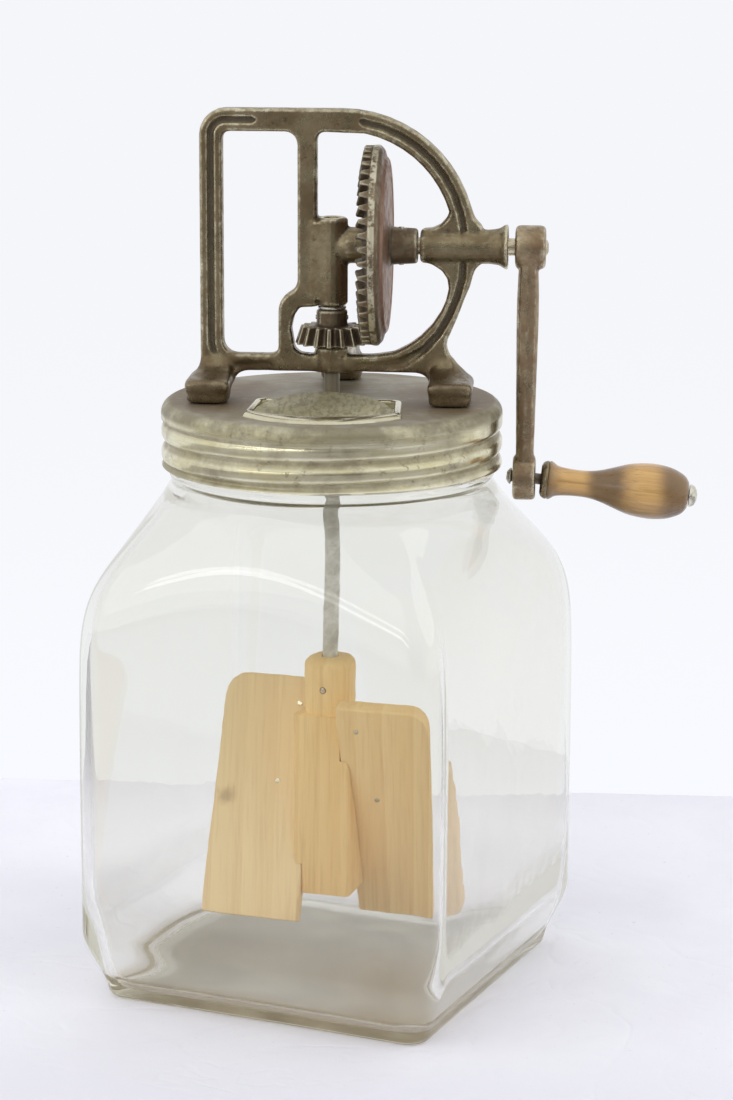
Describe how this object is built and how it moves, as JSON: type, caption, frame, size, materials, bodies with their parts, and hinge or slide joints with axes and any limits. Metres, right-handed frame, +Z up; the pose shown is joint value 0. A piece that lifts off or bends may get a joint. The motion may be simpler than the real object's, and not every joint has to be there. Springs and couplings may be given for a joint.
{
  "type": "butter churn",
  "caption": "Hand-cranked butter churn: square glass jar, screw lid with a rocking vent, cast frame, bevel gears, cranked wooden grip and a wooden paddle dasher.",
  "frame": {"origin": "centre of the jar's base, on the surface it stands on", "axes": "+Z up along the dasher shaft; +X along the crank shaft towards the crank; the cast frame stands in the plane Y = 0 and the vent is on the -Y side"},
  "size_m": [0.232, 0.1854, 0.3379],
  "materials": {
    "clear_glass": "clear pressed glass, polished",
    "worn_tin": "tinned sheet steel, tarnished and rubbed bright on the rolled beads",
    "brass": "dull brass",
    "cast_iron": "brown-black casting with rubbed edges",
    "gear_iron": "cast teeth, worn bright on the crests",
    "crank_iron": "red-brown japanned iron, worn",
    "steel": "drawn steel, dull",
    "pale_wood": "bare pale hardwood, washed smooth",
    "core_wood": "bare orange-brown hardwood",
    "grip_wood": "varnished hardwood, worn pale in the middle and dark at the ends"
  },
  "bodies": {
    "jar": {"glass_jar": "clear_glass"},
    "lid": {"screw_lid": "worn_tin", "lid_bush": "brass", "cast_frame": "cast_iron", "frame_rivet_left": "steel", "frame_rivet_right": "steel", "frame_rivet_rear": "steel"},
    "vent": {"vent_flap": "worn_tin"},
    "crank": {"crank_shaft": "steel", "drive_gear": "gear_iron", "gear_pin": "steel", "crank_arm": "crank_iron", "grip_spindle": "steel", "grip_end_cap": "steel"},
    "grip": {"wooden_grip": "grip_wood", "grip_ferrule": "crank_iron"},
    "dasher": {"dasher_shaft": "steel", "pinion": "gear_iron", "pinion_pin": "steel", "thrust_washer": "steel", "dasher_core": "core_wood", "dasher_paddle_left": "pale_wood", "dasher_paddle_right": "pale_wood", "dasher_pin": "steel"}
  },
  "joints": [
    {"name": "lid_lift", "type": "slide", "parent": "jar", "child": "lid", "axis": [0, 0, 1], "range_m": [0, 0.25]},
    {"name": "vent_flap_hinge", "type": "hinge", "parent": "lid", "child": "vent", "pos_m": [0, -0.0395, 0.2292], "axis": [1, 0, 0], "range_deg": [-9.8, 40]},
    {"name": "crank_spin", "type": "hinge", "parent": "lid", "child": "crank", "pos_m": [0.05, 0, 0.2868], "axis": [1, 0, 0], "continuous": true},
    {"name": "grip_spin", "type": "hinge", "parent": "crank", "child": "grip", "pos_m": [0.0735, 0, 0.1989], "axis": [0.9956, 0, -0.0941], "continuous": true},
    {"name": "dasher_spin", "type": "hinge", "parent": "lid", "child": "dasher", "pos_m": [0, 0, 0.15], "axis": [0, 0, 1], "continuous": true}
  ],
  "couplings": [
    {"joint": "dasher_spin", "follows": "crank_spin", "ratio": 2.75}
  ]
}
